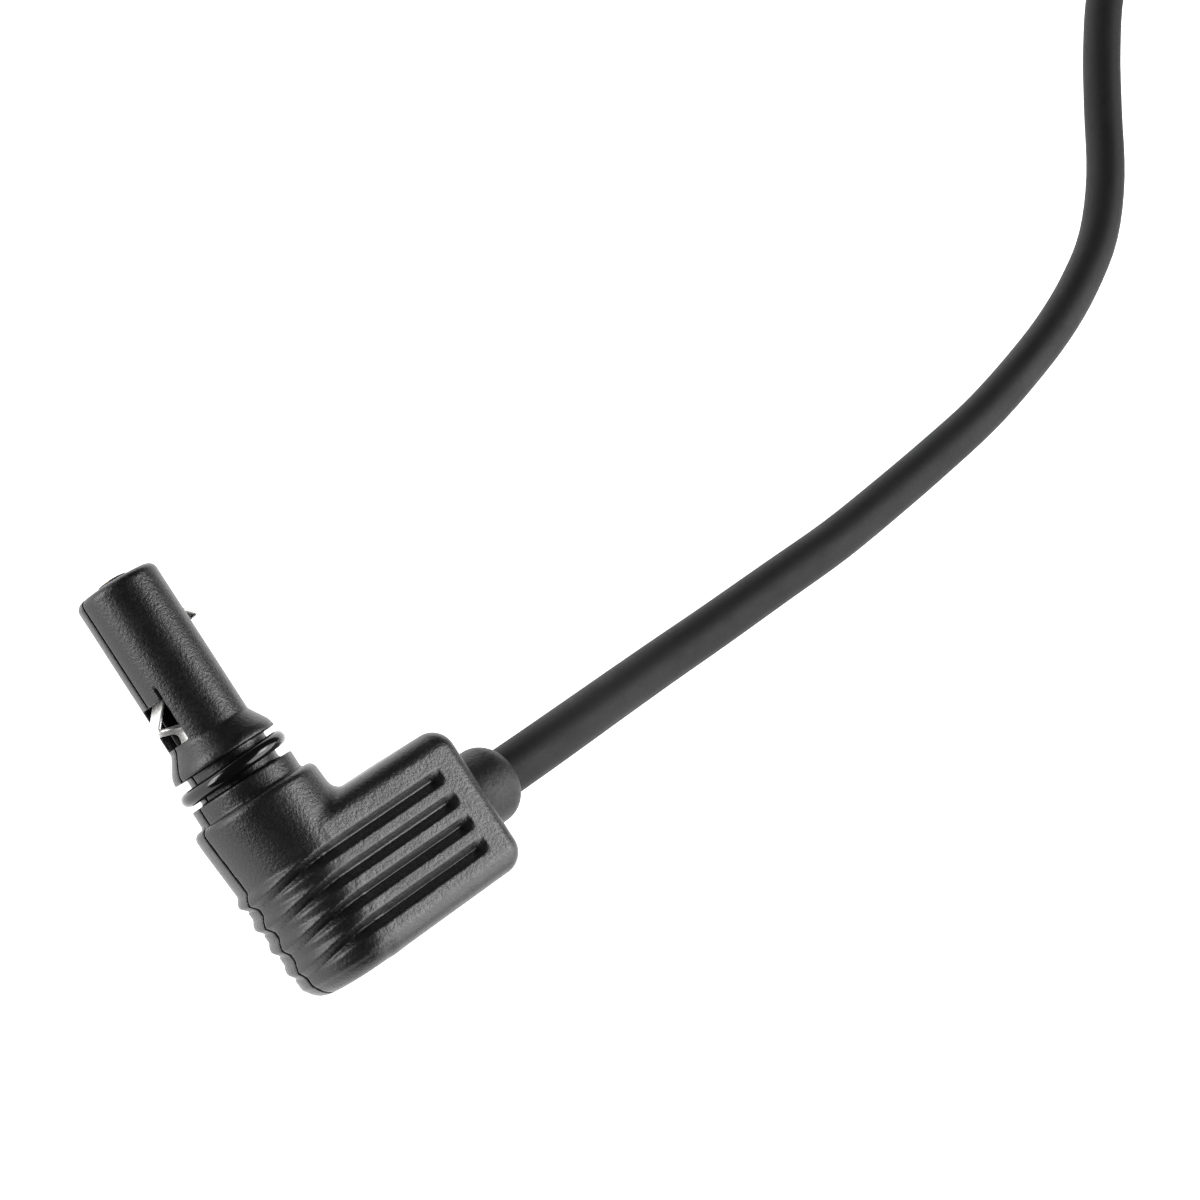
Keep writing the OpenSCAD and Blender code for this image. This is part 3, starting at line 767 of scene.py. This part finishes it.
@dataclass
class Cord:
    """The cord from the plug's boss, across the surface, through its coil and into the handset."""

    diameter: float = 4.5
    length: float = 0.82
    lead: tuple[Point, ...] = (
        (14.5, -31.6, 0), (24.8, -31.6, 0), (32, -31.6, -0.9), (40, -31.6, -2.4), (48, -31.6, -3.5),
        (56, -31.6, -3.6), (66, -31.5, -3.6), (76, -31.4, -3.6), (86, -30.8, -3.6), (95, -30.1, -3.6),
        (104, -29.2, -3.6), (113, -27.7, -3.6), (122, -25.7, -3.6), (130, -23.1, -3.6), (137.5, -19.6, -3.6),
        (144.5, -14.2, -3.6), (151, -7.2, -3.6), (157, -1, -3.6), (164, 5, -3.6), (173, 10, -3.6),
        (184, 13, -3.6), (197, 14, -3.6), (206, 14.1, -3.6),
    )
    tail: tuple[Point, ...] = (
        (218, 13.8, 0.9), (224, 13.1, 0.7), (229.5, 11.6, 0.4), (234.3, 9.3, 0.1), (238.3, 6.8, -0.1),
        (242, 4.75, -0.15), (245.5, 3.3, -0.15), (249, 2.65, -0.15), (253.5, 2.5, -0.15), (259, 2.5, -0.15),
    )
    coil_centre: Pair = (212, -13)
    coil_outer: float = 27.0
    coil_inner: float = 18.2
    coil_turns: float = 4.0
    climb_turns: float = 0.3
    lower_z: float = -3.6
    steps_per_turn: int = 20

    def coil(self) -> list[Point]:
        """Lays the coil's turns: in along the lower layer, up, and out along the upper one.

        Returns:
            Points of the coil's centre line.
        """
        points = []
        spiral = (self.coil_turns - self.climb_turns) / 2
        for k in range(int(self.coil_turns * self.steps_per_turn) + 1):
            t = k / self.steps_per_turn
            inward = min(t, spiral) / spiral
            outward = max(t - spiral - self.climb_turns, 0) / spiral
            r = self.coil_outer - (self.coil_outer - self.coil_inner) * (inward - outward)
            rise = min(max((t - spiral) / self.climb_turns, 0), 1)
            z = self.lower_z + self.diameter * rise * rise * (3 - 2 * rise)
            angle = math.pi / 2 - 2 * math.pi * t
            across, up = r * math.cos(angle), r * math.sin(angle)
            points.append((self.coil_centre[0] + across, self.coil_centre[1] + up, z))
        return points

    def build(self) -> None:
        line = smooth_line([*self.lead, *self.coil(), *self.tail], 4)
        curve = bpy.data.curves.new("cord", "CURVE")
        curve.dimensions = "3D"
        curve.bevel_depth = self.diameter / 2 * MM
        curve.bevel_resolution = 8
        curve.use_fill_caps = True
        spline = curve.splines.new("POLY")
        spline.points.add(len(line) - 1)
        spline.points.foreach_set("co", np.hstack([line * MM, np.ones((len(line), 1))]).ravel())
        spline.use_smooth = True
        cord = linked("cord", curve)
        place(cord, Body.MAIN, JACKET, "cord_lead", "cord_coil", "cord_tail")


# Handset


class Rule:
    """A Geometry Nodes tree with named inputs, run once into a plain mesh."""

    def __init__(self, name: str, sizes: dict[str, float | int]) -> None:
        """Starts a tree.

        Args:
            name: Name of the tree.
            sizes: Its inputs by name, in metres for lengths; whole numbers become integer inputs.
        """
        self.sizes = sizes
        self.group = bpy.data.node_groups.new(name, "GeometryNodeTree")
        for key, value in sizes.items():
            kind = "NodeSocketInt" if isinstance(value, int) else "NodeSocketFloat"
            self.group.interface.new_socket(key, in_out="INPUT", socket_type=kind)
        self.group.interface.new_socket("Geometry", in_out="OUTPUT", socket_type="NodeSocketGeometry")
        self.given = self.group.nodes.new("NodeGroupInput")

    def add(self, kind: str, inputs: dict[str | int, object], **settings: object) -> Node:
        """Adds a node.

        Args:
            kind: The node's type, without its "GeometryNode".
            inputs: Its inputs: a socket to link from, the name of one of the tree's own inputs, or a value.
            settings: Its settings.

        Returns:
            The node.
        """
        node = self.group.nodes.new(kind if "Node" in kind else "GeometryNode" + kind)
        for key, value in settings.items():
            setattr(node, key, value)
        for key, value in inputs.items():
            if isinstance(value, Socket):
                self.group.links.new(value, node.inputs[key])
            elif isinstance(value, str):
                self.group.links.new(self.given.outputs[value], node.inputs[key])
            else:
                node.inputs[key].default_value = value
        return node

    def vector(self, x: object = 0.0, y: object = 0.0, z: object = 0.0) -> Socket:
        """Returns a vector made of three inputs."""
        return self.add("ShaderNodeCombineXYZ", {0: x, 1: y, 2: z}).outputs[0]

    def row(self, geometry: Socket, step: Socket) -> Socket:
        """Puts a geometry at the points of a row. The tree has an input Count for their number.

        Args:
            geometry: What is repeated.
            step: The way from each point to the next.

        Returns:
            The instances.
        """
        line = self.add("MeshLine", {"Count": "Count", "Offset": step})
        return self.add("InstanceOnPoints",
                        {"Points": line.outputs[0], "Instance": geometry}).outputs[0]

    def run(self, name: str, geometry: Socket, finish: Finish, at: Point) -> Piece:
        """Ends the tree and runs it.

        Args:
            name: Name of the piece.
            geometry: What the tree makes.
            finish: Its finish.
            at: Where the tree's origin goes, in millimetres.

        Returns:
            The piece as a plain mesh object.
        """
        real = self.add("RealizeInstances", {0: geometry})
        paint = self.add("SetMaterial", {0: real.outputs[0], "Material": finish.material()})
        out = self.group.nodes.new("NodeGroupOutput")
        self.group.links.new(paint.outputs[0], out.inputs[0])
        carrier = linked(name + "_rule", bpy.data.meshes.new(name + "_rule"))
        modifier = carrier.modifiers.new("rule", "NODES")
        modifier.node_group = self.group
        for item in self.group.interface.items_tree:
            if item.in_out == "INPUT":
                modifier[item.identifier] = self.sizes[item.name]
        ready = carrier.evaluated_get(bpy.context.evaluated_depsgraph_get())
        mesh = bpy.data.meshes.new_from_object(ready)
        bpy.data.objects.remove(carrier)
        mesh.transform(Matrix.Translation(Vector(at) * MM))
        mesh.name = name
        return linked(name, mesh)


@dataclass
class Handset:
    """The handset, in its own frame: X from the cord's end, Y from the middle, Z from the floor."""

    at: Point = (253.5, 2.5, -5.9)
    size: Point = (62, 20, 14)
    wall: float = 1.6
    corner: float = 5.0
    cord_z: float = 5.75
    posts: Pair = (7.5, 56.0)
    post_y: float = -5.4
    post_r: float = 2.8
    thread_r: float = 0.92
    hole_r: float = 3.2
    leaf_x: float = 24
    spring_x: float = 48.5
    button_x: float = 44.0
    button: Pair = (14, 10)
    button_top: float = 15.4
    flange: Pair = (11.2, 12.2)
    lock_x: float = 21.0
    step: float = 0.25

    def case(self, x: Array, y: Array, z: Array, inset: float) -> Array:
        """Shapes the closed case.

        Args:
            x, y, z: Places, in millimetres.
            inset: How far it is drawn in on every side.

        Returns:
            The case's field.
        """
        long, wide, high = self.size
        size = (long - 2 * inset, wide - 2 * inset)
        plan = rounded_rectangle(x, y, (long / 2, 0), size, self.corner - inset)
        return rounded(plan, slab_of(z, inset, high - inset), r=1.7 if inset == 0 else 0.4)

    def walls(self, x: Array, y: Array, z: Array, posts_from: float, posts_to: float) -> Array:
        """Shapes the hollow case with its screw posts.

        Args:
            x, y, z: Places, in millimetres.
            posts_from: Height at which the posts start.
            posts_to: Height at which they end.

        Returns:
            The field.
        """
        hollow = np.maximum(self.case(x, y, z, 0), -self.case(x, y, z, self.wall))
        for post in self.posts:
            rho = np.hypot(x - post, y - self.post_y)
            hollow = np.minimum(hollow, rounded(rho - self.post_r, slab_of(z, posts_from, posts_to), r=0.1))
        return hollow

    def cord_hole(self, x: Array, y: Array, z: Array) -> Array:
        """Returns the field of the hole for the strain relief."""
        return np.maximum(np.hypot(y, z - self.cord_z) - self.hole_r, x - 2.6)

    def screw_holes(self, x: Array, y: Array, z: Array, r: float, top: float) -> Array:
        """Shapes the two screw holes.

        Args:
            x, y, z: Places, in millimetres.
            r: Their radius.
            top: Height at which they end.

        Returns:
            The field of both holes.
        """
        return np.minimum.reduce([
            np.maximum(np.hypot(x - post, y - self.post_y) - r, z - top) for post in self.posts
        ])

    def bottom(self, x: Array, y: Array, z: Array) -> Array:
        """Shapes the case's lower half with its saddle, screw foot and spring seat.

        Args:
            x, y, z: Places, in millimetres.

        Returns:
            The half's field.
        """
        split = self.size[2] / 2
        solid = self.walls(x, y, z, 1, split - 0.05)
        under = rounded(np.hypot(x - self.leaf_x, y) - 3, slab_of(z, 1, 2.95), r=0.1)
        saddle = np.maximum.reduce([slab_of(x, 3.5, 6.5), np.abs(y) - 1.5, slab_of(z, 1, 3.1)])
        seat = rounded(np.hypot(x - self.spring_x, y) - 2.6, slab_of(z, 1, 3.2), r=0.1)
        guide = rounded(np.hypot(x - self.spring_x, y) - 1, slab_of(z, 1, 4.2), r=0.1)
        solid = np.minimum.reduce([solid, under, saddle, seat, guide])
        anchor = np.maximum(np.hypot(x - self.leaf_x, y) - self.thread_r, self.wall - z)
        holes = np.minimum.reduce([
            self.cord_hole(x, y, z), anchor,
            self.screw_holes(x, y, z, 0.95, split + 1), self.screw_holes(x, y, z, 2.05, 1.52),
        ])
        return smooth_max(smooth_max(solid, -holes, 0.15), z - split + 0.06, 0.3)

    def top(self, x: Array, y: Array, z: Array) -> Array:
        """Shapes the case's upper half, with a dished ring about the button.

        Args:
            x, y, z: Places, in millimetres.

        Returns:
            The half's field.
        """
        high = self.size[2]
        split = high / 2
        solid = self.walls(x, y, z, split + 0.05, high - 1)
        opening = (self.button[0] + 0.5, self.button[1] + 0.5)
        around = rounded_rectangle(x, y, (self.button_x, 0), opening, 4.0)
        dish = 0.45 * np.clip(1 - around / 1.8, 0, 1) ** 2 * np.clip((z - high + 1) / 0.5, 0, 1)
        slot = np.maximum(slab_of(x, self.lock_x - 0.4, self.lock_x + 8.4), np.abs(y) - 1.75)
        openings = np.maximum(np.minimum(around, slot), high - self.wall - 1 - z)
        threads = self.screw_holes(x, y, z, self.thread_r, split + 4)
        holes = np.minimum.reduce([self.cord_hole(x, y, z), openings, threads])
        return smooth_max(smooth_max(solid + dish, -holes, 0.15), split + 0.06 - z, 0.3)

    def pusher(self, x: Array, y: Array, z: Array) -> Array:
        """Shapes the dished button with its flange, stem and guide.

        Args:
            x, y, z: Places, in millimetres.

        Returns:
            The button's field.
        """
        long, wide = self.button
        low, high = self.flange
        middle = (self.button_x, 0)
        hollow = self.button_top - 0.55 * np.clip(1 - ((x - self.button_x) / 6.2) ** 2 - (y / 4.4) ** 2, 0, 1)
        outline = rounded_rectangle(x, y, middle, (long, wide), 3.8)
        key = np.maximum(rounded(outline, z - self.button_top, low - z, r=0.7), z - hollow)
        outline = rounded_rectangle(x, y, middle, (long + 3, wide + 3), 4.5)
        plate = rounded(outline, slab_of(z, low, high), r=0.15)
        stem = rounded(np.hypot(x - self.button_x + 3, y) - 0.9, slab_of(z, 7.775, low + 0.2), r=0.2)
        guide = rounded(np.hypot(x - self.spring_x, y) - 1, slab_of(z, 6.3, low + 0.2), r=0.2)
        return np.minimum.reduce([key, plate, stem, guide])

    def slider(self, x: Array, y: Array, z: Array) -> Array:
        """Shapes the lock slider with its tongue.

        Args:
            x, y, z: Places, in millimetres.

        Returns:
            The slider's field.
        """
        at, top = self.lock_x, self.size[2]
        low, high = self.flange

        def bar(xs: Pair, half: float, zs: Pair, r: float) -> Array:
            """Returns the field of a block about the middle plane."""
            return rounded(slab_of(x, *xs), np.abs(y) - half, slab_of(z, *zs), r=r)

        thumb = rounded_rectangle(x, y, (at + 2, 0), (9, 6), 1.5)
        return np.minimum.reduce([
            rounded(thumb, slab_of(z, top + 0.15, top + 1.35), r=0.35),
            bar((at, at + 4), 1.5, (high - 0.1, top + 0.3), 0.1),
            bar((at - 2.5, at + 6.5), 4.0, (low, high), 0.1),
            bar((at + 5, at + 11), 3.0, (10.75, 11.1), 0.1),
            bar((at + 5, at + 6.5), 3.0, (10.75, 11.7), 0.1),
        ])

    def moulded(self, name: str, shape: Field, low: Point, high: Point, step: float) -> Piece:
        """Makes the mesh of a field given in the handset's frame.

        Args:
            name: Name of the piece.
            shape: The field.
            low: Lowest corner of the sampled box.
            high: Highest corner.
            step: Width of a cell.

        Returns:
            The object, in the shared frame.
        """
        verts, quads = Net(low, high, step).mesh(shape)
        return new_mesh(name, verts + np.array(self.at), quads)

    def build_case(self) -> None:
        """Makes the case halves, the button and the slider."""
        long, wide, high = self.size
        half, edge = wide / 2 + 0.5, 0.5
        bottom = self.moulded("case_bottom", self.bottom, (-edge, -half, -edge), (long + edge, half, 7.4),
                              self.step)
        place(bottom, Body.MAIN, CASE, "handset_bottom_shell")
        top = self.moulded("case_top", self.top, (-edge, -half, 6.6), (long + edge, half, high + edge),
                           self.step)
        place(top, Body.MAIN, CASE, "handset_top_shell")
        key = self.moulded("button_key", self.pusher, (34.9, -7.1, 5.9), (53.1, 7.1, 16), 0.2)
        place(key, Body.BUTTON, BUTTON, "release_button")
        slider = self.moulded("slider_body", self.slider, (17.9, -4.6, 10.3), (32.7, 4.6, 16), 0.16)
        place(slider, Body.LOCK, BUTTON, "lock_slider")

    def build_relief(self) -> None:
        """Makes the tapered, ringed strain relief of the cord."""
        hole, cone = 2.27, []
        for ring in range(5):
            for past, drop in ((0, 0), (0.95, 0), (1.05, 0.35), (1.6, 0.35)):
                along = -9 + 1.7 * ring + past
                cone.append((2.75 + 0.75 * (along + 9) / 9 - drop, along))
        profile = [(hole, -9), *cone, (3.5, -0.4), (3.5, -0.02), (3.15, 0), (3.15, 1.62), (4.05, 1.62),
                   (4.05, 2.52), (hole, 2.52)]
        where = Matrix.Translation((self.at[0], self.at[1], self.at[2] + self.cord_z)) @ ALONG_X
        place(turned("handset_boot", profile, where, 72), Body.MAIN, BOSS, "handset_strain_relief")

    def build_repeats(self) -> None:
        """Makes the screws, the slider's ribs and the coil spring with Geometry Nodes."""
        x, y, z = self.at
        screws = Rule("screw_row", {
            "Count": 2, "Spacing": (self.posts[1] - self.posts[0]) * MM, "Head Radius": 2 * MM,
            "Head Height": 1.2 * MM, "Shank Radius": 0.9 * MM, "Shank Length": 8 * MM,
        })
        head = screws.add("MeshCylinder",
                          {"Vertices": 48, "Radius": "Head Radius", "Depth": "Head Height"})
        cuts = screws.add("JoinGeometry", {})
        for size in ((2.6, 0.55, 1.1), (0.55, 2.6, 1.1)):
            cube = screws.add("MeshCube", {"Size": tuple(c * MM for c in size)})
            moved = screws.add("Transform",
                               {"Geometry": cube.outputs[0], "Translation": (0, 0, -0.6 * MM)})
            screws.group.links.new(moved.outputs[0], cuts.inputs[0])
        cross = screws.add("MeshBoolean", {0: head.outputs["Mesh"]}, operation="DIFFERENCE")
        screws.group.links.new(cuts.outputs[0], cross.inputs[1])
        shank = screws.add("MeshCylinder",
                           {"Vertices": 32, "Radius": "Shank Radius", "Depth": "Shank Length"})
        raised = screws.add("Transform",
                            {"Geometry": shank.outputs["Mesh"], "Translation": (0, 0, 4.52 * MM)})
        both = screws.add("JoinGeometry", {0: cross.outputs[0]})
        screws.group.links.new(raised.outputs[0], both.inputs[0])
        made = screws.run("case_screws", screws.row(both.outputs[0], screws.vector("Spacing")), SCREW,
                          (x + self.posts[0], y + self.post_y, z + 0.9))
        place(made, Body.MAIN, SCREW, "housing_screws")

        ribs = Rule("rib_row", {"Count": 4, "Spacing": 1.4 * MM, "Width": 0.6 * MM, "Length": 4.4 * MM,
                                "Height": 0.5 * MM})
        bar = ribs.add("MeshCube", {"Size": ribs.vector("Width", "Length", "Height")})
        made = ribs.run("slider_ribs", ribs.row(bar.outputs[0], ribs.vector("Spacing")), BUTTON,
                        (x + self.lock_x - 0.2, y, z + self.size[2] + 1.35))
        place(made, Body.LOCK, BUTTON)

        coil = Rule("coil_spring", {"Turns": 6.0, "Radius": 1.7 * MM, "Height": 7.4 * MM, "Wire": 0.25 * MM})
        helix = coil.add("CurveSpiral", {
            "Resolution": 28, "Rotations": "Turns", "Start Radius": "Radius", "End Radius": "Radius",
            "Height": "Height",
        })
        wire = coil.add("CurvePrimitiveCircle", {"Resolution": 10, "Radius": "Wire"})
        tube = coil.add("CurveToMesh", {
            "Curve": helix.outputs[0], "Profile Curve": wire.outputs[0], "Fill Caps": True,
        })
        made = coil.run("return_spring", tube.outputs[0], WIRE, (x + self.spring_x, y, z + 3.5))
        fix_normals(made)
        place(made, Body.MAIN, WIRE, "button_spring")

    def build(self) -> None:
        """Makes every piece of the handset that isn't kept from the CAD."""
        self.build_case()
        self.build_relief()
        self.build_repeats()


# Studio


@dataclass
class Studio:
    """Floor, lights and camera."""

    camera_at: Point = (-118.84, -21.87, 199.66)
    right: Point = (0.6525, -0.5432, 0.5326)
    up: Point = (0.4221, 0.8396, 0.3353)
    lens: float = 82.8
    floor_z: float = -5.9
    floor_glow: float = 1.64
    floor_reach: float = 3000
    floor_grey: float = 0.2
    surround: float = 0.04
    lights_about: Point = (20, -22, 0)
    light_distance: float = 1000

    def build_camera(self) -> None:
        """Makes the camera."""
        data = bpy.data.cameras.new("camera")
        data.lens = self.lens
        data.sensor_width = 36
        data.clip_start = 0.01
        camera = linked("camera", data)
        across = Vector(self.right).normalized()
        back = across.cross(Vector(self.up)).normalized()
        turn = Matrix((across, back.cross(across), back)).transposed()
        camera.matrix_world = Matrix.Translation(Vector(self.camera_at) * MM) @ turn.to_4x4()
        bpy.context.scene.camera = camera

    def build_floor(self) -> None:
        """Makes the pale floor."""
        reach = self.floor_reach
        corners = [(a * reach, b * reach, self.floor_z) for a, b in ((-1, -1), (1, -1), (1, 1), (-1, 1))]
        floor = new_mesh("floor", corners, [(0, 1, 2, 3)])
        mat = bpy.data.materials.new("floor_paper")
        mat.use_nodes = True
        feed(mat.node_tree.nodes["Principled BSDF"], Base_Color=(self.floor_grey,) * 3 + (1,), Roughness=0.9,
             Specular_IOR_Level=0.0, Emission_Color=(1, 1, 1, 1), Emission_Strength=self.floor_glow)
        floor.data.materials.append(mat)

    def build_lights(self) -> None:
        """Makes the soft boxes and the dim surroundings."""
        self._box("key_box", -15, 52, (400, 400), 7.4)
        self._box("broad_box", -42, 36, (1200, 1000), 4.1)
        self._box("low_left_box", 150, 9, (900, 320), 9.0)
        world = bpy.data.worlds.new("surround")
        world.use_nodes = True
        feed(world.node_tree.nodes["Background"], Color=(1, 1, 1, 1), Strength=self.surround)
        bpy.context.scene.world = world
        bpy.context.scene.view_settings.view_transform = "Standard"

    def _box(self, name: str, azimuth: float, elevation: float, size: Pair,
             radiance: float) -> None:
        """Makes one soft box that faces the plug.

        Args:
            name: Name of the light.
            azimuth: Its direction about Z, in degrees from +X.
            elevation: Its angle above the floor, in degrees.
            size: Its width and height in millimetres.
            radiance: How bright its face is.
        """
        data = bpy.data.lights.new(name, "AREA")
        data.shape = "RECTANGLE"
        data.size, data.size_y = size[0] * MM, size[1] * MM
        data.energy = radiance * math.pi * data.size * data.size_y
        a, e = math.radians(azimuth), math.radians(elevation)
        way = Vector((math.cos(e) * math.cos(a), math.cos(e) * math.sin(a), math.sin(e)))
        at = Vector(self.lights_about) + way * self.light_distance
        turn = (-way).to_track_quat("-Z", "Y").to_matrix().to_4x4()
        linked(name, data).matrix_world = Matrix.Translation(at * MM) @ turn

    def build(self) -> None:
        """Makes the whole studio."""
        self.build_camera()
        self.build_floor()
        self.build_lights()


CARRIED = {
    BRASS: ("centre_contact", "solder_tags", "common_leaf", "focus_leaf", "release_leaf"),
    CRIMP: ("cable_crimp", "handset_cable_clamp"),
    RED_WIRE: ("plug_wire_centre", "handset_wire_common"),
    WHITE_WIRE: ("plug_wire_tip", "handset_wire_focus"),
    YELLOW_WIRE: ("plug_wire_base", "handset_wire_release"),
    BOARD: ("leaf_block",),
    SCREW: ("leaf_screw",),
}


def finish_carried() -> None:
    """Puts finishes on the CAD nodes whose shapes are kept."""
    for finish, names in CARRIED.items():
        for node in (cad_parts[name] for name in names):
            if not node.material_slots:
                node.data.materials.append(finish.material())
            for slot in node.material_slots:
                slot.material = finish.material()


def main() -> None:
    """Builds the looks in order."""
    logging.basicConfig(level=logging.INFO, format="%(message)s")
    finish_carried()
    for part in (Studio(), Cord(), Plug(), Handset()):
        part.build()


if __name__ == "__main__":
    main()
